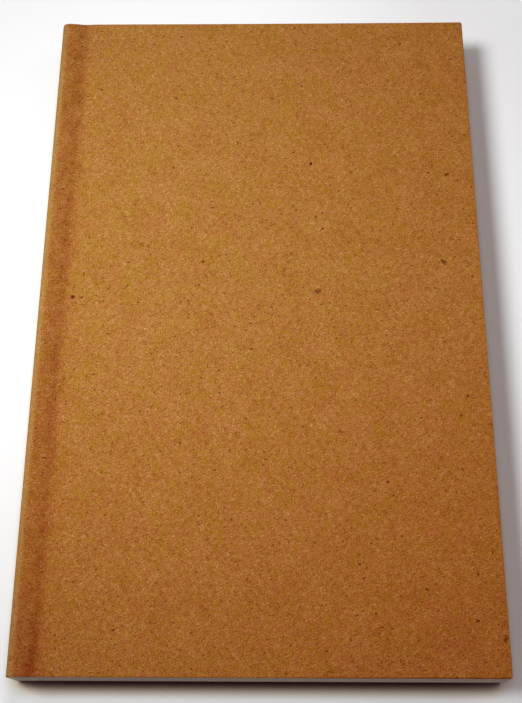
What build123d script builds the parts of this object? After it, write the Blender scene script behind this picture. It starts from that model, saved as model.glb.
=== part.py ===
from build123d import *
import os

# A soft-cover notebook with a glued square back, lying closed on its back cover.
# One sheet of kraft card wraps the block of leaves. It is scored beside the back,
# so that the front and the back cover swing on their score lines.
# X runs from the spine to the fore edge, Y from tail to head, Z up from the table.

# Trimmed notebook
trim_width = 133.35  # spine to fore edge
trim_height = 209.55  # tail to head

# Leaves
leaf_count = 136
leaf_thickness = 0.1
block_bevel = 0.4  # the milled back of the block loses its two sharp edges

# Card cover
card_thickness = 0.6
front_fold_radius = 2.0  # outside of the fold between spine and front
back_fold_radius = 1.1  # outside of the fold under the book, pressed tighter
cover_corner_radius = 0.7  # fore-edge corners, softened by handling
fore_edge_lift = 0.6  # the front cover springs up a little, away from the leaves

# Score lines that the covers swing on
hinge_offset = 7.8  # from the spine's outer face to the bottom of the score
score_depth = 0.2
score_panel_run = 3.6  # from the bottom of the score out to the flat of the cover
score_strip_run = 2.0  # the same towards the spine, on the back
strip_bend_share = 0.25  # where the front strip's two bends meet, from the score

# Glue
spine_glue_thickness = 0.6
side_glue_film = 0.1  # between the strips beside the spine and the block
side_glue_width = 6.0  # reach of the side glue from the spine's outer face
shoulder_rise = 0.4  # extra glue lifts the front strip this far at its fold

# Places that follow from the sizes
spine_x = -trim_width / 2
fore_edge_x = trim_width / 2
crease_x = spine_x + hinge_offset
flat_x = crease_x + score_panel_run
glue_end_x = spine_x + side_glue_width
wall_in_x = spine_x + card_thickness
block_x = wall_in_x + spine_glue_thickness

back_in_z = card_thickness
block_low_z = back_in_z + side_glue_film
block_high_z = block_low_z + leaf_count * leaf_thickness
front_in_z = block_high_z + side_glue_film
front_out_z = front_in_z + card_thickness
shoulder_z = front_out_z + shoulder_rise

front_score = Vector(crease_x, front_out_z - score_depth)
back_score = Vector(crease_x, score_depth)
front_fold = Vector(spine_x + front_fold_radius, shoulder_z)
front_fold_in = Vector(front_fold.X, shoulder_z - card_thickness)
back_fold = Vector(spine_x + back_fold_radius, 0)
back_fold_in = Vector(back_fold.X, back_in_z)
glue_tip = Vector(glue_end_x, front_in_z)


def score_flank(low: Vector, high: Vector, share: float = 0.5):
    """Two arcs from the bottom of a score to the card beside it, level at both ends."""
    way = Vector(1, 0) if high.X > low.X else Vector(-1, 0)
    meet = low + (high - low) * share
    TangentArc(low, meet, tangent=way)
    TangentArc(high, meet, tangent=way * -1)


def inside_of_wrap():
    """The card's inner face, from the front strip round the spine to the back strip."""
    wall_top = Vector(wall_in_x, shoulder_z - front_fold_radius)
    wall_foot = Vector(wall_in_x, back_fold_radius)
    TangentArc(front_fold_in, glue_tip, tangent=(1, 0))
    TangentArc(front_fold_in, wall_top, tangent=(-1, 0))
    Line(wall_top, wall_foot)
    TangentArc(wall_foot, back_fold_in, tangent=(0, -1))


# The leaves, trimmed flush with the cover on three sides and milled along the back
with BuildPart() as page_block:
    with BuildSketch(Plane.XZ) as block_end:
        with BuildLine():
            Polyline(
                (block_x, block_low_z),
                (fore_edge_x, block_low_z),
                (fore_edge_x, block_high_z),
                (block_x, block_high_z),
                close=True,
            )
        make_face()
        chamfer(block_end.vertices().group_by(Axis.X)[0], block_bevel)
    extrude(amount=trim_height / 2, both=True)

# Glue on the milled back, running out as side glue onto the first and last leaf
with BuildPart() as spine_glue:
    with BuildSketch(Plane.XZ):
        with BuildLine():
            inside_of_wrap()
            Polyline(back_fold_in, (glue_end_x, back_in_z), glue_tip)
        make_face()
        add(block_end.sketch_local, mode=Mode.SUBTRACT)
    extrude(amount=trim_height / 2, both=True)

# The folded middle of the card: front strip, spine and back strip in one piece
with BuildPart() as spine_wrap:
    with BuildSketch(Plane.XZ):
        with BuildLine():
            spine_top = Vector(spine_x, shoulder_z - front_fold_radius)
            spine_foot = Vector(spine_x, back_fold_radius)
            back_flat = Vector(crease_x - score_strip_run, 0)
            score_flank(front_score, front_fold, strip_bend_share)
            TangentArc(front_fold, spine_top, tangent=(-1, 0))
            Line(spine_top, spine_foot)
            TangentArc(spine_foot, back_fold, tangent=(0, -1))
            Line(back_fold, back_flat)
            score_flank(back_score, back_flat)
            Polyline(back_score, (crease_x, back_in_z), back_fold_in)
            inside_of_wrap()
            Polyline(glue_tip, (crease_x, front_in_z), front_score)
        make_face()
    extrude(amount=trim_height / 2, both=True)

# The front cover, from its score to the fore edge, bowed up off the leaves
with BuildPart() as front_cover:
    with BuildSketch(Plane.XZ):
        with BuildLine():
            front_flat = Vector(flat_x, front_out_z)
            front_edge = Vector(fore_edge_x, front_out_z + fore_edge_lift)
            flat_in = Vector(flat_x, front_in_z)
            edge_in = Vector(fore_edge_x, front_in_z + fore_edge_lift)
            score_flank(front_score, front_flat)
            TangentArc(front_flat, front_edge, tangent=(1, 0))
            Line(front_edge, edge_in)
            TangentArc(flat_in, edge_in, tangent=(1, 0))
            Polyline(flat_in, (crease_x, front_in_z), front_score)
        make_face()
    extrude(amount=trim_height / 2, both=True)
    fillet(front_cover.edges().filter_by(Axis.Z).group_by(Axis.X)[-1], cover_corner_radius)

# The back cover, flat on the table
with BuildPart() as back_cover:
    with BuildSketch(Plane.XZ):
        with BuildLine():
            back_panel = Vector(flat_x, 0)
            score_flank(back_score, back_panel)
            Polyline(
                back_panel,
                (fore_edge_x, 0),
                (fore_edge_x, back_in_z),
                (crease_x, back_in_z),
                back_score,
            )
        make_face()
    extrude(amount=trim_height / 2, both=True)
    fillet(back_cover.edges().filter_by(Axis.Z).group_by(Axis.X)[-1], cover_corner_radius)

page_block.part.label = "page_block"
spine_glue.part.label = "spine_glue"
spine_wrap.part.label = "spine_wrap"
front_cover.part.label = "front_cover"
back_cover.part.label = "back_cover"

os.makedirs("parts", exist_ok=True)
export_step(page_block.part, "parts/page_block.step")
export_step(spine_glue.part, "parts/spine_glue.step")
export_step(spine_wrap.part, "parts/spine_wrap.step")
export_step(front_cover.part, "parts/front_cover.step")
export_step(back_cover.part, "parts/back_cover.step")

print("front hinge axis", front_score.X, front_score.Y)
print("back hinge axis", back_score.X, back_score.Y)
print("heights: front panel", front_out_z, "shoulder", shoulder_z, "edge", front_out_z + fore_edge_lift)
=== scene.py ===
# %% [markdown]
# # A softcover notebook in kraft card
#
# The notebook is a block of white leaves, glued along its back into one sheet of brown kraft card.
# The card is folded round the back and scored beside it, so that both covers can swing.
# This lesson dresses the measured solids: the card becomes a folded sheet in two halves, the leaves get
# their cut edges, and each surface gets a finish that is worked out from formulas.

# %% Load the measured solids
import math
import bpy
import numpy as np
from mathutils import Matrix, Vector


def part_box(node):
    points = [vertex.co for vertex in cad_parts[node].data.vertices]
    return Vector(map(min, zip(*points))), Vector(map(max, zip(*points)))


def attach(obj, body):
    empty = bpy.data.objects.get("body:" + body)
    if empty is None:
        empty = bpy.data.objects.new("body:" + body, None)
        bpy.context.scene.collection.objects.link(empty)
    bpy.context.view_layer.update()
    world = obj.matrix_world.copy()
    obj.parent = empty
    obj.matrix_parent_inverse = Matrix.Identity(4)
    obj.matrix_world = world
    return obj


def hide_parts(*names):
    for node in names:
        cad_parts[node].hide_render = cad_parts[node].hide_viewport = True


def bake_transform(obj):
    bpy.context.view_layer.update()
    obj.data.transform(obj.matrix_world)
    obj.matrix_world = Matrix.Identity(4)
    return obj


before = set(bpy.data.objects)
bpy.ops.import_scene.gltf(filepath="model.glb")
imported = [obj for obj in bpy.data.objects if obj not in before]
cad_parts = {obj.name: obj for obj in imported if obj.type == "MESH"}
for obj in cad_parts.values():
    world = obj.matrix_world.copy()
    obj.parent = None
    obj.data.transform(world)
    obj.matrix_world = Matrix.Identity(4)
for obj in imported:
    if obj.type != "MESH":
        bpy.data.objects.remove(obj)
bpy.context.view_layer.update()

# %% [markdown]
# ## Sizes
#
# A node's box gives most places directly: where the spine stands, where the score lies, how high the
# front cover is. The few sizes that no box shows, such as the fold's radius, are repeated here in
# metres. All new pieces use these names, so nothing is fitted by eye.

# %% Places read from the solids
MM = 0.001
wrap_low, wrap_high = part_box("spine_wrap")
front_low, front_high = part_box("front_cover")
back_low, back_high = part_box("back_cover")
block_low, block_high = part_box("page_block")

spine_x, fore_edge_x, crease_x = wrap_low[0], front_high[0], front_low[0]
tail_y, head_y = front_low[1], front_high[1]
half_height = (head_y - tail_y) / 2
card = back_high[2] - back_low[2]
front_in_z = front_low[2]
front_out_z = front_in_z + card
shoulder_z = wrap_high[2]
edge_lift = front_high[2] - front_out_z
middle_z = shoulder_z / 2
print("score", round((crease_x - spine_x) / MM, 2), "mm from the spine, card", round(card / MM, 2), "mm")

# %% Sizes that no box shows
front_fold_radius, back_fold_radius = 2.0 * MM, 1.1 * MM
score_depth, score_panel_run, score_strip_run = 0.2 * MM, 3.6 * MM, 2.0 * MM
strip_bend_share = 0.25
side_glue_width = 6.0 * MM
corner_radius = 0.7 * MM
leaf_count, block_bevel = 136, 0.4 * MM

glue_end_x = spine_x + side_glue_width
flat_x = crease_x + score_panel_run
print("flat of the cover starts", round((flat_x - spine_x) / MM, 2), "mm from the spine")

# %% [markdown]
# ## The card's line, seen from the tail
#
# A score is a pressed valley: two arcs that are level at the bottom, level at the top and tangent where
# they meet. Written as a height over x, that line can be sampled where we like, closely in the valley
# and widely on the flat. A spline through a few points would be quicker to draw, but it would overshoot.


# %% Heights of the card's outer and inner face
def flank_height(x, low, high, share):
    """Height over x of two tangent arcs from low to high, level at both ends.
    The turn is twice the angle of the chord. The two radii add up to run / sin(turn), and share of them
    belongs to the arc at the low end. Each arc's height is its radius minus the circle's half chord."""
    run, rise = abs(high[0] - low[0]), high[1] - low[1]
    reach = run / math.sin(2 * math.atan(rise / run))
    low_radius, high_radius = reach * share, reach * (1 - share)
    from_low = np.minimum(abs(x - low[0]), low_radius)
    from_high = np.minimum(abs(x - high[0]), high_radius)
    low_arc = low[1] + low_radius - np.sqrt(low_radius**2 - from_low**2)
    high_arc = high[1] - high_radius + np.sqrt(high_radius**2 - from_high**2)
    return np.where(abs(x - low[0]) < run * share, low_arc, high_arc)


def bow(x):
    """How far the front cover stands up at x: the square of its share of the way to the fore edge."""
    return edge_lift * np.clip((x - flat_x) / (fore_edge_x - flat_x), 0, 1) ** 2


def front_outside(x):
    """Front face: strip down to the score, score up to the flat, then the bowed cover."""
    score = (crease_x, front_out_z - score_depth)
    strip = flank_height(x, score, (spine_x + front_fold_radius, shoulder_z), strip_bend_share)
    panel = flank_height(x, score, (flat_x, front_out_z), 0.5)
    return np.where(x < crease_x, strip, np.where(x < flat_x, panel, front_out_z + bow(x)))


def front_inside(x):
    """Inner face: from the shoulder down over the side glue, then level, then bowed with the cover."""
    fold_x = spine_x + front_fold_radius
    share = np.clip((x - fold_x) / (glue_end_x - fold_x), 0, 1)
    return shoulder_z - card - (shoulder_z - card - front_in_z) * share**2 + bow(x)


def back_outside(x):
    """Back face: level on the table, with its score pressed upwards."""
    score = (crease_x, -score_depth)
    strip = flank_height(x, score, (crease_x - score_strip_run, 0.0), 0.5)
    panel = flank_height(x, score, (flat_x, 0.0), 0.5)
    near = np.where(x < crease_x, strip, panel)
    return -np.where((x > crease_x - score_strip_run) & (x < flat_x), near, 0.0)


def back_inside(x):
    """Inner face of the back: level, one card above the table."""
    return np.full_like(x, card)


print("score bottom, mm:", *(front_outside(np.array([crease_x])) / MM).round(2))

# %% The line as paired points, outer and inner
score_zone = 1.2 * MM


def card_line(fold_radius, wall_end, outside, inside, up):
    """Outer and inner points of one half of the card, from the middle of the spine to the fore edge.
    The wall is straight, the fold is a quarter circle (inner radius = outer radius - card), and the
    rest is sampled over x: every 0.1 mm at the score, about every 2 mm on the flat."""
    wall = np.linspace(middle_z, wall_end, 10)[:-1]
    turn = np.linspace(0, math.pi / 2, 14)
    over_x = np.unique(np.concatenate([
        np.linspace(spine_x + fold_radius, crease_x - score_zone, 18)[1:],
        np.linspace(crease_x - score_zone, crease_x + score_zone, 25),
        np.linspace(crease_x + score_zone, flat_x, 10),
        np.linspace(flat_x, fore_edge_x, 66),
    ]).round(8))
    lines = []
    for radius, wall_x, face in (
        (fold_radius, spine_x, outside), (fold_radius - card, spine_x + card, inside),
    ):
        fold_x = spine_x + fold_radius - radius * np.cos(turn)
        fold = np.c_[fold_x, wall_end + up * radius * np.sin(turn)]
        straight = np.c_[np.full(len(wall), wall_x), wall]
        lines.append(np.r_[straight, fold, np.c_[over_x, face(over_x)]])
    return lines


front_line = card_line(
    front_fold_radius, shoulder_z - front_fold_radius, front_outside, front_inside, 1)
back_line = card_line(back_fold_radius, back_fold_radius, back_outside, back_inside, -1)
print("points along the card, front and back:", len(front_line[0]), len(back_line[0]))


# %% Unroll the card
def run_length(line):
    """Length along a line of points: the running sum of its steps, which unrolls the folded card."""
    return np.r_[0, np.cumsum(np.hypot(*np.diff(line, axis=0).T))]


# A way on the flat sheet is counted from the front score: outwards positive, round the spine negative
front_run, back_run = run_length(front_line[0]), run_length(back_line[0])
front_score_run = np.interp(crease_x, front_line[0][:, 0], front_run)
back_score_run = np.interp(crease_x, back_line[0][:, 0], back_run)
front_way = front_run - front_score_run
back_way = -back_run - front_score_run
back_score_way = -back_score_run - front_score_run
flat_length = front_run[-1] + back_run[-1]
print("flat sheet, mm:", round(flat_length / MM, 1), "x", round((head_y - tail_y) / MM, 1))

# %% [markdown]
# ## From a line to a sheet
#
# The line is carried from tail to head. Round the whole section it makes a closed loop: out along the
# outer face, round the cut fore edge, back along the inner face. Every loop has the same number of
# points, so the sheet is one grid. Near head and tail the loops shrink a little, which rounds the cut
# edges as a guillotine leaves them, and the corner radius shortens the last rows.
# Each point also keeps its place on the flat, unfolded sheet, for the finish to follow.


# %% A mesh from points, and a smooth noise
def mesh_piece(name, points, quads, attributes):
    """A new object at the origin from points (n, 3) and quads (m, 4), turned to face outwards. Its signed
    volume, a sixth of the sum of p0 . (p1 x p2) over both halves of each quad, tells the side."""
    first, second, third, fourth = (points[quads[:, corner]] for corner in range(4))
    volume = (first * (np.cross(second, third) + np.cross(third, fourth))).sum() / 6
    mesh = bpy.data.meshes.new(name)
    mesh.from_pydata(points.tolist(), [], (quads if volume > 0 else quads[:, ::-1]).tolist())
    for key, values in attributes.items():
        layer = mesh.attributes.new(key, "FLOAT_VECTOR", "POINT")
        layer.data.foreach_set("vector", np.ascontiguousarray(values, np.float32).ravel())
    mesh.update()
    piece = bpy.data.objects.new(name, mesh)
    bpy.context.scene.collection.objects.link(piece)
    print(name, len(points), "points,", 2 * len(quads), "triangles,", round(abs(volume) * 1e9), "cubic mm")
    return piece


def smooth_noise(values, seed, steps):
    """Even noise from -1 to 1: random heights at whole steps, joined by a cosine ease between them."""
    heights = np.random.default_rng(seed).uniform(-1, 1, steps + 2)
    place = np.clip(values, 0, 1) * steps
    cell = np.floor(place).astype(int)
    ease = (1 - np.cos((place - cell) * math.pi)) / 2
    return heights[cell] * (1 - ease) + heights[cell + 1] * ease


# %% Rows from tail to head, and the loop round the section
arris = 0.12 * MM


def card_rows():
    """Each row's y, and how far its loop shrinks. The last three rows at each end turn a quarter circle
    of radius arris. The rows between follow a sine, so that they crowd towards the ends."""
    turn = np.radians([30.0, 60.0, 90.0])
    end_y, end_inset = half_height - arris + arris * np.sin(turn), arris * (1 - np.cos(turn))
    span = (half_height - arris) * np.sin(np.linspace(-math.pi / 2, math.pi / 2, 90))
    return (np.r_[-end_y[::-1], span, end_y],
            np.r_[end_inset[::-1], np.zeros_like(span), end_inset])


def cut_edge(outer, inner):
    """The cut fore edge: from the outer face round two small arcs of radius arris to the inner face."""
    drop = outer[-1, 1] - inner[-1, 1]
    turn = np.radians([20.0, 45.0, 70.0, 90.0])
    edge_x = fore_edge_x - arris + arris * np.r_[np.sin(turn), np.sin(turn[::-1])]
    fall = np.r_[arris * (1 - np.cos(turn)), abs(drop) - arris * (1 - np.cos(turn[::-1]))]
    return np.c_[edge_x, outer[-1, 1] - math.copysign(1, drop) * fall]


def section_loop(outer, inner, way):
    """The closed loop round the section: its points, the middle line that they shrink towards, their way
    on the flat sheet, their depth (0 outside, minus the card inside), and 1 for points on the cut edge."""
    edge = cut_edge(outer, inner)
    last_x = fore_edge_x - arris
    outer, inner = (np.c_[np.minimum(line[:, 0], last_x), line[:, 1]] for line in (outer, inner))
    middle = (outer + inner) / 2
    faces, cut = np.zeros(len(outer)), len(edge)
    return (np.r_[outer, edge, inner[::-1]],
            np.r_[middle, np.repeat(middle[-1:], cut, 0), middle[::-1]],
            np.r_[way, np.repeat(way[-1:], cut), way[::-1]],
            np.r_[faces, np.linspace(0, 1, cut), faces + 1] * -card,
            np.r_[faces, np.ones(cut), faces])


def closed_grid(rows, columns):
    """Quads of a grid that closes on itself round the section, with a cap of quads at each end."""
    here = np.arange(rows * columns).reshape(rows, columns)
    right = np.roll(here, -1, axis=1)
    walls = np.stack([here[:-1], right[:-1], right[1:], here[1:]], -1).reshape(-1, 4)
    out, back = here[[0, -1], :columns // 2], here[[0, -1], ::-1][:, :columns // 2]
    caps = np.stack([out[:, :-1], back[:, :-1], back[:, 1:], out[:, 1:]], -1)
    return np.concatenate([walls, caps[0], caps[1, :, ::-1]])


# %% The two halves of the card
corner_reach = 3 * MM
cut_wear = 0.018 * MM


def card_sheet(name, outer, inner, way, seed):
    """The closed sheet: one loop for each row. Loops shrink towards the middle line at head and tail, and
    near the fore edge their x shortens by the corner's circle. Cut faces are worn, always inwards."""
    row_y, row_inset = card_rows()
    loop, core, loop_way, depth, on_edge = section_loop(outer, inner, way)
    grid = loop[None] + (core - loop)[None] * (row_inset / (card / 2))[:, None, None]
    over = np.maximum(abs(row_y) - (half_height - corner_radius), 0)
    short = corner_radius - np.sqrt(np.maximum(corner_radius**2 - over**2, 0))
    near = np.clip((grid[..., 0] - (fore_edge_x - corner_reach)) / corner_reach, 0, 1)
    worn = cut_wear * (1 + smooth_noise((row_y + half_height) / (2 * half_height), seed, 160))
    x = grid[..., 0] - near * short[:, None] - worn[:, None] * on_edge
    ends = np.clip((abs(row_y) - (half_height - arris)) / arris, 0, 1)
    along = (loop_way - loop_way.min()) / np.ptp(loop_way)
    fray = cut_wear * (1 + smooth_noise(along, seed + 1, 170))
    y = row_y[:, None] - np.sign(row_y)[:, None] * ends[:, None] * fray[None]
    points = np.stack([x, y, grid[..., 1]], -1).reshape(-1, 3)
    sheet = np.stack(np.broadcast_arrays(loop_way[None], row_y[:, None], depth[None]), -1)
    return mesh_piece(name, points, closed_grid(*x.shape), {"sheet": sheet.reshape(-1, 3)})


card_front = card_sheet("card_front", *front_line, front_way, seed=11)
card_back = card_sheet("card_back", *back_line, back_way, seed=23)

# %% [markdown]
# ## The card's two halves
#
# The real card is one sheet; here it is two halves that meet in the middle of the flat spine. Two halves
# are needed because a piece can bend across one joint only. Each half is shaded smooth, with sharp edges
# where its faces meet at more than 50 degrees, is baked in place, and hides the solids that it replaces.

# %% Smooth shading, and the solids hidden
smooth_below = math.radians(50)
for piece, cover, level, nodes in (
    (card_front, "front_board", front_out_z, ("front_cover", "spine_wrap")),
    (card_back, "back_board", 0.0, ("back_cover",)),
):
    piece.data.polygons.foreach_set("use_smooth", np.ones(len(piece.data.polygons), bool))
    piece.data.set_sharp_from_angle(angle=smooth_below)
    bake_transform(piece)
    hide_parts(*nodes)

# %% [markdown]
# ## The block of leaves
#
# A guillotine cuts all leaves at once, yet each leaf keeps an edge of its own: it stands back a few
# hundredths of a millimetre more or less than its neighbour, with a fine groove between. Modelling 136
# loose sheets would give thousands of hidden faces. Instead the block is the skin of a box lattice with
# three rows of points for each leaf, and the rows are pushed in by a small amount.


# %% Skin of a box lattice
def lattice_skin(counts):
    """Indices of a box lattice's outer points, and its quads, for counts of cells along x, y and z.
    A point is kept if one of its three numbers is first or last. Each side is a slice of that table."""
    shape = [c + 1 for c in counts]
    grid = np.stack(np.meshgrid(*[np.arange(s) for s in shape], indexing="ij"), -1)
    outer = ((grid == 0) | (grid == np.array(counts))).any(-1)
    number = np.full(shape, -1)
    number[outer] = np.arange(outer.sum())
    quads = []
    for axis in range(3):
        for end in (0, -1):
            side = np.take(number, end, axis=axis)
            corners = [side[:-1, :-1], side[1:, :-1], side[1:, 1:], side[:-1, 1:]]
            order = 1 if (end == 0) == (axis == 1) else -1
            quads.append(np.stack(corners, -1).reshape(-1, 4)[:, ::order])
    return grid[outer], np.concatenate(quads)


# %% The block
rows_per_leaf = 3
trim_margin, most_setback, most_drift, groove_depth = 0.018, 0.035, 0.008, 0.04  # mm


def leaf_block(name):
    """The block: x and y set the place on a leaf, z the leaf. A point on a cut side moves inwards by
    its groove (between leaves) and by its leaf's own setback, which wanders slowly along the edge."""
    counts = np.array([30, 44, leaf_count * rows_per_leaf])
    cell, quads = lattice_skin(counts.tolist())
    share = cell / counts
    leaf = np.minimum(cell[:, 2] // rows_per_leaf, leaf_count - 1)
    z = block_low[2] + share[:, 2] * (block_high[2] - block_low[2])
    bevel = np.maximum(block_bevel - np.minimum(z - block_low[2], block_high[2] - z), 0)
    back_x = block_low[0] + bevel
    x = back_x + share[:, 0] * (block_high[0] - back_x)
    y = block_low[1] + share[:, 1] * (block_high[1] - block_low[1])
    rng = np.random.default_rng(5)
    setback = rng.uniform(0.0, 1.0, leaf_count) ** 2
    wander = rng.uniform(-1, 1, (leaf_count, 2))
    drift = (wander[leaf, 0] * np.sin(share[:, 1] * 5 + leaf * 0.7)
             + wander[leaf, 1] * np.cos(share[:, 0] * 4 + leaf))
    groove = np.where(cell[:, 2] % rows_per_leaf == 0, 1.0, 0.0)
    inwards = MM * (trim_margin + most_setback * setback[leaf] + most_drift * drift + groove_depth * groove)
    x = x - np.where(cell[:, 0] == counts[0], inwards, 0)
    y = y + np.where(cell[:, 1] == 0, inwards, 0) - np.where(cell[:, 1] == counts[1], inwards, 0)
    return mesh_piece(name, np.stack([x, y, z], -1), quads, {})


leaves = leaf_block("leaves")
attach(leaves, "bound_block")
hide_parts("page_block")

# %% [markdown]
# ## A short way to write finishes
#
# A finish is a network of nodes. Wired by hand it takes hundreds of lines, so one small class lets an
# output socket stand in a Python sum: every operator adds a Math node. A second class holds a network
# and makes any other node from its type, its settings and its inputs. A third adds a material to it.


# %% Sums of sockets
def math_node(tree, operation, *values):
    """One Math node on numbers and wires, in the order given."""
    node = tree.nodes.new("ShaderNodeMath")
    node.operation = operation
    for slot, value in zip(node.inputs, values):
        plug(tree, slot, value)
    return Wire(tree, node.outputs[0])


class Wire:
    """An output socket that can stand in a sum. Each operator adds a Math node, as do most and floor."""

    def __init__(self, tree, socket):
        self.tree, self.socket = tree, socket

    def __add__(self, other):
        return math_node(self.tree, "ADD", self, other)

    def __sub__(self, other):
        return math_node(self.tree, "SUBTRACT", self, other)

    def __rsub__(self, other):
        return math_node(self.tree, "SUBTRACT", other, self)

    def __mul__(self, other):
        return math_node(self.tree, "MULTIPLY", self, other)

    def __truediv__(self, other):
        return math_node(self.tree, "DIVIDE", self, other)

    def __rtruediv__(self, other):
        return math_node(self.tree, "DIVIDE", other, self)

    def __abs__(self):
        return math_node(self.tree, "ABSOLUTE", self)

    def floor(self):
        return math_node(self.tree, "FLOOR", self)

    def most(self, other):
        return math_node(self.tree, "MAXIMUM", self, other)

    __radd__, __rmul__ = __add__, __mul__


def plug(tree, slot, value):
    """Links a wire to an input, or sets the input's own number, vector or colour."""
    if isinstance(value, Wire):
        tree.links.new(value.socket, slot)
    else:
        slot.default_value = value


# %% Networks and finishes
class Network:
    """A tree of nodes, of a material or of the sky."""

    def __init__(self, tree):
        self.tree = tree

    def node(self, kind, settings=None, inputs=None, out=0):
        """Any node: its type, its settings, the values or wires of its inputs, and the output to use."""
        node = self.tree.nodes.new(kind)
        for key, value in (settings or {}).items():
            if key == "stops":
                ramp = node.color_ramp.elements
                while len(ramp) < len(value):
                    ramp.new(0.5)
                for stop, (place, colour) in zip(ramp, value):
                    stop.position, stop.color = place, colour
            else:
                setattr(node, key, value)
        for key, value in (inputs or {}).items():
            found = [s for s in node.inputs if s.identifier == key or s.name == key]
            plug(self.tree, node.inputs[key] if isinstance(key, int) else found[0], value)
        outs = [s for s in node.outputs if s.identifier == out or s.name == out]
        return Wire(self.tree, node.outputs[out] if isinstance(out, int) else outs[0])

    def grain(self, place, size, detail=2.0, rough=0.5, turn=0.0, seed=0.0):
        """Even noise around 0.5 whose features have the given sizes in metres, turned about z."""
        spot = self.node("ShaderNodeMapping", {"vector_type": "TEXTURE"}, {
            "Vector": place, "Location": (seed, seed, seed), "Rotation": (0, 0, turn), "Scale": size})
        return self.node("ShaderNodeTexNoise", {}, {
            "Vector": spot, "Scale": 1.0, "Detail": detail, "Roughness": rough}, "Fac")

    def ease(self, value, low, high):
        """0 below low, 1 above high, and a smooth step between. A low above high turns it round."""
        return self.node("ShaderNodeMapRange", {"interpolation_type": "SMOOTHSTEP"}, {
            "Value": value, "From Min": min(low, high), "From Max": max(low, high),
            "To Min": 0.0 if low < high else 1.0, "To Max": 1.0 if low < high else 0.0}, "Result")

    def mix(self, amount, first, second, blend="MIX"):
        """Colour mix: first where amount is 0, second where it is 1."""
        return self.node("ShaderNodeMix", {"data_type": "RGBA", "blend_type": blend}, {
            "Factor_Float": amount, "A_Color": first, "B_Color": second}, "Result_Color")

    def ramp(self, value, stops):
        """Colour ramp: a list of places from 0 to 1 with a colour each, and straight mixes between."""
        return self.node("ShaderNodeValToRGB", {"stops": stops}, {"Fac": value}, "Color")

    def axis(self, vector, name):
        """One of a vector's three numbers, by its letter."""
        return self.node("ShaderNodeSeparateXYZ", {}, {"Vector": vector}, name)

    def length(self, vector):
        """A vector's length."""
        return self.node("ShaderNodeVectorMath", {"operation": "LENGTH"}, {"Vector": vector}, "Value")


class Finish(Network):
    """One material with its surface shader."""

    def __init__(self, name):
        self.material = bpy.data.materials.new(name)
        self.material.use_nodes = True
        super().__init__(self.material.node_tree)
        self.shader = self.tree.nodes["Principled BSDF"]

    def shade(self, **sockets):
        """Plugs values and wires into the surface shader, by names such as Base_Color."""
        for key, value in sockets.items():
            plug(self.tree, self.shader.inputs[key.replace("_", " ")], value)

    def bump(self, height, strength, depth):
        """A normal bent by the slope of height, as if the surface rose and fell by depth."""
        return self.node("ShaderNodeBump", {}, {
            "Strength": strength, "Distance": depth, "Height": height}, "Normal")


def srgb(red, green, blue):
    """A colour as a screen shows it, from 0 to 255, turned into a shader's linear numbers."""
    part = np.array([red, green, blue]) / 255
    linear = np.where(part <= 0.04045, part / 12.92, ((part + 0.055) / 1.055) ** 2.4)
    return (*linear.tolist(), 1.0)


print("middle grey, linear:", round(srgb(128, 128, 128)[0], 3))

# %% [markdown]
# ## Kraft card
#
# Kraft is unbleached pulp: a warm brown felt of fibres, each a little lighter or darker than the next,
# with dark specks of bark. The pattern lives on the flat sheet, so the finish reads the place that each
# point had before folding. Three layers of stretched noise, turned against each other, give crossing
# fibres; fine round noise gives the felt between them; cells give loose fibres and flecks; and the few
# specks that show clearly on the cover are placed one by one. Along the score the card is darker: partly
# burnished, partly painted shade of the score's valley. Along the fold it is rubbed a little paler.
# Painted shade also darkens the card towards the tail and the fore edge, along the tail edge and on the
# cut sides.

# %% Specks that stand out on the front cover
# Way from the score, way from the middle towards the head, half length, half width (all in mm),
# turn (radians), darkness, and how hollow the speck is
cover_specks = [
    (2.6, 4.6, 0.80, 0.72, 0.3, 0.95, 0.0),
    (76.2, 6.5, 1.00, 0.74, 0.2, 1.00, 0.6),
    (114.5, 16.1, 1.25, 0.66, -0.8, 0.74, 0.0),
    (74.7, 50.6, 0.84, 0.54, 0.9, 1.00, 0.0),
    (117.2, 46.6, 0.80, 0.55, 0.5, 0.85, 0.0),
    (18.7, 8.3, 1.10, 0.28, 0.8, 0.60, 0.0),
    (56.3, -12.2, 0.52, 0.36, 0.0, 0.80, 0.0),
    (47.0, -18.8, 0.50, 0.38, 0.6, 0.95, 0.0),
    (41.8, -21.2, 0.60, 0.34, -0.7, 0.80, 0.0),
    (117.4, -90.1, 0.65, 0.50, 0.6, 0.80, 0.0),
    (20.2, -92.7, 0.55, 0.42, 0.0, 0.75, 0.0),
    (10.2, -20.0, 0.48, 0.36, 0.4, 0.65, 0.0),
    (29.9, -90.8, 0.48, 0.36, 0.2, 0.60, 0.0),
    (40.5, 8.6, 0.42, 0.34, 0.0, 0.80, 0.0),
    (124.4, -94.9, 1.50, 0.50, 1.5, 0.70, 0.0),
]


def torn(finish, place, size, amount):
    """The place, pushed sideways by noise: up to half of amount each way, in waves of the given size."""
    wave = finish.node("ShaderNodeTexNoise", {}, {
        "Vector": place, "Scale": 1 / size, "Detail": 1.0}, "Color")
    wave = finish.node("ShaderNodeVectorMath", {"operation": "SUBTRACT"}, {
        0: wave, 1: (0.5, 0.5, 0.5)}, "Vector")
    return finish.node("ShaderNodeVectorMath", {"operation": "MULTIPLY_ADD"}, {
        0: wave, 1: (amount, amount, 0.0), 2: place}, "Vector")


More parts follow.
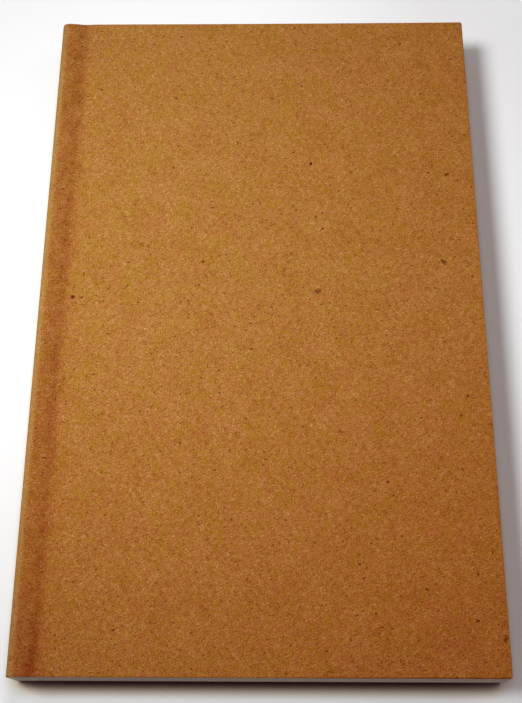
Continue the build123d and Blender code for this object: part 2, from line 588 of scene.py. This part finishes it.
def speck_mask(finish, place):
    """Sum of ovals: each is 1 inside, falls to 0 at its half length and half width, and may be hollow."""
    ragged = torn(finish, place, 0.5 * MM, 1.3 * MM)
    total = 0.0
    for way, up, long, wide, turn, dark, hollow in cover_specks:
        spot = finish.node("ShaderNodeMapping", {"vector_type": "TEXTURE"}, {
            "Vector": ragged, "Location": (way * MM, up * MM, 0.0), "Rotation": (0, 0, turn),
            "Scale": (long * MM, wide * MM, 3 * MM)})
        away = finish.length(spot)
        oval = finish.ease(away, 1.15, 0.55)
        if hollow:
            oval = oval - finish.ease(away, 0.6, 0.2) * hollow
        total = oval * dark + total
    return total


print("specks placed one by one:", len(cover_specks))

# %% Light and dark of the pulp
felt_size, cloud_size = 0.31 * MM, 9 * MM
fibre_size = (2.1 * MM, 0.27 * MM, 1 * MM)
fibre_layers = [(0.40, 0.74, 0.1), (1.5, 0.47, 0.2), (2.5, 0.49, 0.4)]  # turn, weight, seed


def pulp_tone(kraft, place):
    """Light and dark around 0.5, and the felt alone. The tone is 0.5 plus a weighted sum of noises, each
    less its own 0.5: round felt, broad clouds, and stretched fibres turned three ways."""
    cloud = kraft.grain(place, (cloud_size,) * 3, 3.0, 0.55)
    felt = kraft.grain(place, (felt_size,) * 3, 1.0, 0.6, seed=0.3)
    tone = 0.5 + (felt - 0.5) * 1.30 + (cloud - 0.5) * 0.24
    for turn, weight, seed in fibre_layers:
        tone = (kraft.grain(place, fibre_size, 1.0, 0.5, turn, seed) - 0.5) * weight + tone
    return tone, felt


# %% Colour of the pulp
pulp_stops = [
    (0.02, srgb(96, 41, 6)), (0.34, srgb(154, 94, 26)), (0.50, srgb(169, 113, 46)),
    (0.66, srgb(180, 129, 66)), (0.98, srgb(214, 176, 124)),
]
yellow_pulp, pink_pulp = srgb(160, 118, 18), srgb(176, 107, 61)
pale_fibre, dark_speck = srgb(202, 162, 110), srgb(80, 20, 0)
# Length and width of the patches, detail, turn, seed, how yellow and how pink they get
hue_patches = [
    (2.6 * MM, 1.0 * MM, 3.0, 0.45, 0.7, 0.60, 0.55),
    (7 * MM, 4.5 * MM, 4.0, 0.9, 1.3, 0.25, 0.28),
]
# Spacing of the cells, stretch, radius, share of cells that hold a fleck, turn, weight, colour
fleck_nets = [
    (0.9 * MM, 2.4, 0.18 * MM, 0.52, 0.5, 0.95, srgb(104, 42, 0)),
    (4.2 * MM, 1.8, 0.30 * MM, 0.45, 0.3, 1.0, srgb(88, 28, 0)),
]


def scattered(kraft, place, spacing, stretch, radius, chance, turn):
    """Loose fibres or flecks, 0 to 1: a net of random cells, stretched and turned, where a share of the
    cells holds an oval at its middle. Most ovals are faint and a few are strong."""
    flat = {"voronoi_dimensions": "2D"}
    spot = kraft.node("ShaderNodeMapping", {"vector_type": "TEXTURE"}, {
        "Vector": place, "Rotation": (0, 0, turn), "Scale": (spacing * stretch, spacing, 1.0)})
    away = kraft.node("ShaderNodeTexVoronoi", flat, {"Vector": spot, "Scale": 1.0}, "Distance")
    draw = kraft.node("ShaderNodeTexVoronoi", flat, {"Vector": spot, "Scale": 1.0}, "Color")
    size = radius / spacing
    return kraft.ease(away, size, size * 0.3) * kraft.ease(kraft.axis(draw, "X"), 1 - chance, 1.0)


def kraft_colour(kraft, place, tone):
    """The pulp's colour: a ramp over the tone, yellower and pinker patches, loose fibres and flecks."""
    colour = kraft.ramp(tone, pulp_stops)
    for long, wide, detail, turn, seed, yellower, pinker in hue_patches:
        hue = kraft.grain(place, (long, wide, 2 * wide), detail, 0.65, turn, seed)
        colour = kraft.mix(kraft.ease(hue, 0.47, 0.70) * yellower, colour, yellow_pulp)
        colour = kraft.mix(kraft.ease(hue, 0.53, 0.30) * pinker, colour, pink_pulp)
    bent = torn(kraft, place, 1.4 * MM, 1.6 * MM)
    for turn in (0.5, 2.2):
        fibres = scattered(kraft, bent, 1.1 * MM, 5.0, 0.16 * MM, 0.35, turn)
        colour = kraft.mix(fibres * 0.45, colour, pale_fibre)
    for *net, weight, dark in fleck_nets:
        colour = kraft.mix(scattered(kraft, bent, *net) * weight, colour, dark)
    return colour


# %% Wear of the card, and painted shade
# Tints multiplied in: painted falloff shade towards tail and fore edge, and score burnish with painted
# shade
falloff_shade_tint, burnish_and_shade_tint = (1.0, 0.68, 0.52, 1.0), (0.66, 0.38, 0.30, 1.0)
# Tints multiplied in: painted shade along the tail edge and on the cut sides
tail_rim_shade_tint, cut_side_shade_tint = (0.5, 0.34, 0.28, 1.0), (0.62, 0.52, 0.45, 1.0)
rubbed_kraft = srgb(168, 137, 85)
front_fold_way = -8.2 * MM


def painted_falloff_shade(kraft, way, up, colour):
    """Painted shade: redder and darker towards the tail and the fore edge, where the lamp's light falls
    off.
    A sum of two slow steps, multiplied in.
    """
    falloff_shade_share = kraft.ease(up, 20 * MM, -125 * MM) * 0.56 + kraft.ease(way, 25 * MM, 138 * MM) * 0.39
    return kraft.mix(falloff_shade_share, colour, falloff_shade_tint, "MULTIPLY")


def score_burnish_and_shade(kraft, place, way, up, colour):
    """Darker along both scores, partly burnish and partly painted shade of the score's valley and of the
    strip that slopes into it: a valley each side of the score, plus the strip between score and fold,
    made uneven by noise and stronger at the tail."""
    scored = 0.0
    for score_way, strip_side in ((0.0, -1), (back_score_way, 1)):
        step = (way - score_way) * strip_side
        valley = kraft.ease(abs(step + 0.3 * MM), 4.8 * MM, 0.3 * MM) * 0.20
        strip = kraft.ease(step, -2.3 * MM, 0.9 * MM) * kraft.ease(step, 6.3 * MM, 5.1 * MM) * 0.40
        scored = valley + strip + scored
    patch = kraft.grain(place, (3.0 * MM, 4.5 * MM, 2 * MM), 4.0, 0.65, seed=0.9)
    tailward = kraft.ease(up, -82 * MM, -104 * MM) * 0.45 + 1
    uneven = (kraft.ease(patch, 0.25, 0.75) * 0.9 + 0.55) * tailward
    return kraft.mix(scored * uneven, colour, burnish_and_shade_tint, "MULTIPLY")


def rub(kraft, way, felt, colour):
    """Paler along the front fold, where the felt stands high."""
    rubbed = kraft.ease(abs(way - front_fold_way), 3.3 * MM, 0.6 * MM) * kraft.ease(felt, 0.34, 0.56)
    return kraft.mix(rubbed * 0.72, colour, rubbed_kraft)


def cut_edge_shade(kraft, place, way, up, colour):
    """Painted shade: a dark rim along the tail edge, more so far from the spine, where the cut edge and the
    gap under the cover lie in shade; and darker cut sides in shade, where the depth is neither 0 nor 1."""
    tail_rim_shade = kraft.ease(up, tail_y + 0.5 * MM, tail_y + 0.12 * MM)
    outwards = kraft.ease(way, 55 * MM, 110 * MM) * 0.55 + 0.3
    colour = kraft.mix(tail_rim_shade * outwards, colour, tail_rim_shade_tint, "MULTIPLY")
    depth = kraft.axis(place, "Z") / -card
    return kraft.mix(depth * (1 - depth) * 3.0, colour, cut_side_shade_tint, "MULTIPLY")


# %% The kraft finish
def kraft_finish():
    """Kraft card on the flat sheet: pulp, specks, wear and painted shade, felted roughness, a bump of the
    same tone.
    """
    kraft = Finish("brown_kraft")
    place = kraft.node("ShaderNodeAttribute", {"attribute_name": "sheet"}, {}, "Vector")
    way, up = kraft.axis(place, "X"), kraft.axis(place, "Y")
    tone, felt = pulp_tone(kraft, place)
    colour = kraft_colour(kraft, place, tone)
    colour = kraft.mix(speck_mask(kraft, place), colour, dark_speck)
    colour = painted_falloff_shade(kraft, way, up, colour)
    colour = score_burnish_and_shade(kraft, place, way, up, colour)
    colour = rub(kraft, way, felt, colour)
    colour = cut_edge_shade(kraft, place, way, up, colour)
    kraft.shade(Base_Color=colour, Roughness=kraft.ease(tone, 0.0, 1.0) * 0.12 + 0.8,
                Normal=kraft.bump(tone, 0.3, 0.05 * MM), Specular_IOR_Level=0.08)
    return kraft.material


brown_kraft = kraft_finish()
for piece in (card_front, card_back):
    piece.data.materials.append(brown_kraft)
print("brown kraft:", len(brown_kraft.node_tree.nodes), "nodes")

# %% [markdown]
# ## Leaves and glue
#
# The leaves are plain uncoated paper. On their flat faces only a faint cloudiness shows. On the cut sides
# every leaf has a slightly different tone, which the finish draws from the leaf's number, worked out from
# its height in the block. The cut sides are also painted warmer and darker than the faces, in the tint of
# their shade. The glue is a cream hot-melt that shows as a thin line at head and tail.


# %% The paper finish
def paper_finish():
    """Uncoated paper: cloudy faces, and cut sides whose tone is drawn anew for each leaf's number.
    The cut sides are painted warmer and darker than the faces, in the tint of their shade.
    """
    paper = Finish("leaf_paper")
    place = paper.node("ShaderNodeTexCoord", {}, {}, "Object")
    pitch = (block_high[2] - block_low[2]) / leaf_count
    number = ((paper.axis(place, "Z") - block_low[2]) / pitch).floor()
    draw = paper.node("ShaderNodeTexWhiteNoise", {"noise_dimensions": "1D"}, {"W": number}, "Value")
    streak = paper.grain(place, (30 * MM, 30 * MM, 0.18 * MM), 2.0, 0.6)
    cloud = paper.grain(place, (3 * MM,) * 3, 4.0, 0.6)
    fine = paper.grain(place, (0.25 * MM,) * 3, 2.0, 0.6)
    facing = paper.node("ShaderNodeNewGeometry", {}, {}, "Normal")
    side = paper.ease(abs(paper.axis(facing, "Z")), 0.95, 0.6)
    # Cut sides: a tone for each leaf, in a warm, darker tint that is painted shade
    edge = paper.mix(draw * 0.55 + (streak - 0.5) * 0.9, srgb(243, 213, 192), srgb(206, 164, 142))
    face = paper.mix(cloud, srgb(244, 240, 229), srgb(236, 230, 216))
    paper.shade(Base_Color=paper.mix(side, face, edge), Roughness=cloud * 0.1 + 0.8,
                Normal=paper.bump(fine, 0.15, 0.02 * MM), Specular_IOR_Level=0.1)
    return paper.material


leaf_paper = paper_finish()
leaves.data.materials.append(leaf_paper)
print("leaf paper:", len(leaf_paper.node_tree.nodes), "nodes")


# %% The glue finish
def glue_finish():
    """Cream hot-melt: drawn out in soft waves along the spine, less glossy on the crests."""
    glue = Finish("hot_melt_glue")
    place = glue.node("ShaderNodeTexCoord", {}, {}, "Object")
    drip = glue.grain(place, (1.2 * MM, 4 * MM, 1.2 * MM), 3.0, 0.55)
    glue.shade(Base_Color=glue.mix(drip, srgb(226, 208, 170), srgb(198, 172, 126)),
               Roughness=glue.ease(drip, 0.3, 0.7) * 0.2 + 0.35, Normal=glue.bump(drip, 0.3, 0.1 * MM))
    return glue.material


hot_melt_glue = glue_finish()
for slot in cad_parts["spine_glue"].material_slots:
    slot.material = hot_melt_glue
print("glue:", len(hot_melt_glue.node_tree.nodes), "nodes")

# %% [markdown]
# ## Table and light
#
# The notebook lies on a plain pale table. One round soft lamp hangs on the left, less than half a metre
# up and about level with the notebook's middle. It throws the narrow shadow along the fore edge, and its
# soft cone lets the light fall off slowly towards head, tail and right. A weak lamp on the other side
# opens that shadow, and a dim sky does the rest. The lamp is a little cool and the shade a little warm.
#
# A white table could be had with more light, but then the card would turn pale. So the table has one look
# for rays that are seen and another for rays that only carry light. The eye meets a white surface with
# shadows on it, which turns plain white further off, as a paper backdrop would. Towards the lamp and
# beside the spine it is painted lighter, a painted pool of the lamp's light. In the corner at the
# notebook's foot a painted contact shade darkens it. Light meets a grey table that throws little back, so
# that the tail stays in shade, and a hole under the notebook lets a lamp from below reach its underside.
# An opened back cover hangs below the table's plane, so there the table opens to show it.


# %% Rays that are seen
def seen_rays(network):
    """1 for rays that show a surface, by eye, by gloss or through glass, and 0 for rays that light it."""
    eye, gloss, glass = (network.node("ShaderNodeLightPath", {}, {}, f"Is {ray} Ray")
                         for ray in ("Camera", "Glossy", "Transmission"))
    return eye.most(gloss).most(glass)


# %% A pale table
corner_reach_on_table, corner_gain = 5 * MM, 1.64
# Painted contact shade on the table: colours over the occlusion at the notebook's foot
painted_contact_shade_stops = [
    (0.20, srgb(82, 56, 76)), (0.34, srgb(108, 82, 82)), (0.52, srgb(182, 158, 142)),
    (0.72, srgb(226, 218, 196)), (1.0, srgb(255, 255, 255)),
]
hang_reach = 0.3
rim = 0.2 * MM


def backdrop_and_painted_light(table, place, x, y):
    """How far the seen table is plain white: fully far away, as a backdrop; partly towards the lamp and by
    the spine, which is painted light.
    """
    far = table.ease(table.length(place), 0.115, 0.24)
    painted_lamp_pool = table.ease(x * -0.86 + y * 0.51, -5 * MM, 75 * MM) * 0.6
    painted_light_by_spine = table.ease(x, -fore_edge_x, -fore_edge_x - 5 * MM) * 0.4
    return far.most(painted_lamp_pool).most(painted_light_by_spine)


def pale_table():
    """Three looks in one. From below there is no table. Rays that only carry light meet grey, with a hole
    under the notebook. The eye meets white, with a painted contact shade where occlusion is strong, painted
    light towards the lamp and by the spine, and open over a hanging cover, which is where occlusion on the
    table's under side is anything less than 1."""
    table = Finish("pale_table")
    place = table.node("ShaderNodeTexCoord", {}, {}, "Object")
    x, y = table.axis(place, "X"), table.axis(place, "Y")
    clear = table.node("ShaderNodeBsdfTransparent", {}, {}, "BSDF")

    def choose(amount, first, second):
        return table.node("ShaderNodeMixShader", {}, {0: amount, 1: first, 2: second}, 0)

    open_sky = table.node("ShaderNodeAmbientOcclusion", {}, {"Distance": corner_reach_on_table}, "AO")
    corner = open_sky * corner_gain - (corner_gain - 1)
    # Painted contact shade: the seen table darkens where occlusion is strong
    table.shade(Base_Color=table.ramp(corner, painted_contact_shade_stops), Roughness=0.9, Specular_IOR_Level=0.1)
    surface = Wire(table.tree, table.shader.outputs["BSDF"])
    white = table.node("ShaderNodeEmission", {}, {"Color": (1, 1, 1, 1), "Strength": 1.0}, "Emission")
    hung = table.node("ShaderNodeAmbientOcclusion", {"inside": True, "samples": 128}, {
        "Distance": hang_reach}, "AO")
    opened = table.ease(hung, 1.0, 0.99) * table.ease(x, crease_x + 10 * MM, crease_x)
    shown = choose(opened, choose(backdrop_and_painted_light(table, place, x, y), surface, white), clear)

    covered = (table.ease(abs(x), fore_edge_x, fore_edge_x - rim)
               * table.ease(abs(y), head_y, head_y - rim))
    grey = table.node("ShaderNodeBsdfDiffuse", {}, {"Color": srgb(185, 185, 185)}, "BSDF")
    top = choose(seen_rays(table), choose(covered, grey, clear), shown)
    under = table.node("ShaderNodeNewGeometry", {}, {}, "Backfacing")
    output = table.tree.nodes["Material Output"].inputs["Surface"]
    plug(table.tree, output, choose(under, top, clear))
    return table.material


# %% The table top
table_half, table_z = 12.0, -0.05 * MM
table_corners = [(-1, -1), (1, -1), (1, 1), (-1, 1)]
table_mesh = bpy.data.meshes.new("table_top")
table_mesh.from_pydata(
    [(table_half * x, table_half * y, table_z) for x, y in table_corners], [], [(0, 1, 2, 3)])
table_mesh.materials.append(pale_table())
table_top = bpy.data.objects.new("table_top", table_mesh)
bpy.context.scene.collection.objects.link(table_top)
print("table:", len(table_mesh.materials[0].node_tree.nodes), "nodes")


# %% Lamps
def lamp(name, kind, place, aim, power, **settings):
    """A lamp at place, turned to look at aim, both in millimetres. Power in watts."""
    data = bpy.data.lights.new(name, kind)
    data.energy = power
    for key, value in settings.items():
        setattr(data, key, value)
    lit = bpy.data.objects.new(name, data)
    place, aim = Vector(place) * MM, Vector(aim) * MM
    lit.location = place
    lit.rotation_euler = (aim - place).to_track_quat("-Z", "Y").to_euler()
    lit.visible_camera = False
    bpy.context.scene.collection.objects.link(lit)
    print(name, power, "W")


cool_tint, shade_tint = (0.95, 0.985, 1.0), (1.0, 0.885, 0.89)
lamp("main_lamp", "SPOT", (-244, 7, 445), (-21.5, 22, 15), 10.6, color=cool_tint,
     shadow_soft_size=0.095, spot_size=math.radians(52.5), spot_blend=1.0)
lamp("fill_lamp", "AREA", (780, 300, 900), (0, 0, 15), 2.2, size=0.7, color=shade_tint)
lamp("under_lamp", "AREA", (0, 0, -700), (0, 0, 0), 5.5, size=0.7)

# %% Sky
dim = 0.15
sky = bpy.data.worlds.new("sky")
sky.use_nodes = True
sky_net = Network(sky.node_tree)
sky_seen = seen_rays(sky_net)
shine = sky.node_tree.nodes["Background"].inputs
plug(sky.node_tree, shine["Color"], sky_net.mix(sky_seen, (*shade_tint, 1), (1, 1, 1, 1)))
plug(sky.node_tree, shine["Strength"], sky_seen * (1 - dim) + dim)
bpy.context.scene.world = sky
bpy.context.scene.view_settings.view_transform = "Standard"
print("sky lights at", dim, "and is seen at 1")

# %% [markdown]
# ## Camera
#
# The camera stands over the tail end and looks down at the notebook. Its place, its lean and its focal
# length come from the notebook's own outline: with the sizes known, only one camera puts all four edges
# where the picture has them. The focal length is given in pixels of the 522 by 703 frame.

# %% The camera over the tail
focal_pixels, frame_height = 1048.69, 703
eye = Vector((3.951, -124.723, 302.301)) * MM
lean, roll, yaw = 0.37135, 0.02906, 0.03204
turned = (Matrix.Rotation(yaw, 3, "Z") @ Matrix.Rotation(lean, 3, "X")
          @ Matrix.Rotation(-roll, 3, "Z"))
camera_data = bpy.data.cameras.new("camera")
camera_data.sensor_width = 36.0
camera_data.lens = focal_pixels * camera_data.sensor_width / frame_height
camera_data.clip_start, camera_data.clip_end = 0.01, 50
camera = bpy.data.objects.new("camera", camera_data)
camera.matrix_world = Matrix.Translation(eye) @ turned.to_4x4()
bpy.context.scene.collection.objects.link(camera)
bpy.context.scene.camera = camera
print("lens, mm:", round(camera_data.lens, 2))
